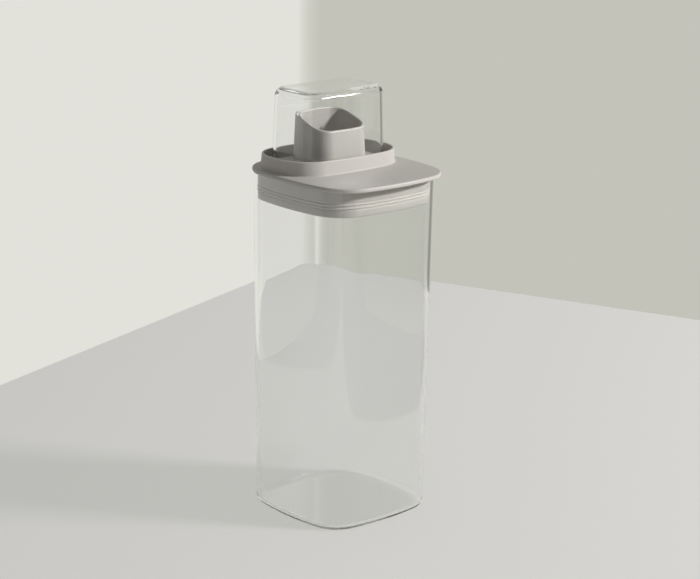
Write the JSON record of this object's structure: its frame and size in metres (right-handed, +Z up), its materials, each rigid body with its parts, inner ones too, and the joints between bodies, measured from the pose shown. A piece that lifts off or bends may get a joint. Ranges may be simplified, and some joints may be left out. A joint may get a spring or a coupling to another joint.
{
  "type": "cereal keeper",
  "caption": "Tall clear rounded-square jar for dry food, with a sealed plug-in lid, a slanted pour spout and a clear lift-off measuring cap over the spout.",
  "frame": {"origin": "centre of the jar's flat base, on the surface it stands on", "axes": "+Z up along the jar's axis, +X along the long side of the collar and the spout, -Y towards the free end of the lid plate"},
  "size_m": [0.1064, 0.1117, 0.2915],
  "materials": {
    "clear_jar": "clear, polished",
    "clear_cap": "clear, polished",
    "lid_plastic": "fine satin",
    "soft_seal": "soft, matt, translucent"
  },
  "bodies": {
    "jar": {"jar_body": "clear_jar"},
    "lid": {"lid_top": "lid_plastic", "lid_plug": "lid_plastic", "lid_gasket": "soft_seal", "pour_spout": "lid_plastic", "cap_seal": "soft_seal"},
    "cap": {"measuring_cap": "clear_cap"}
  },
  "joints": [
    {"name": "lid_lift", "type": "slide", "parent": "jar", "child": "lid", "axis": [0, 0, 1], "range_m": [0, 0.04]},
    {"name": "cap_lift", "type": "slide", "parent": "lid", "child": "cap", "axis": [0, 0, 1], "range_m": [0, 0.05]}
  ]
}
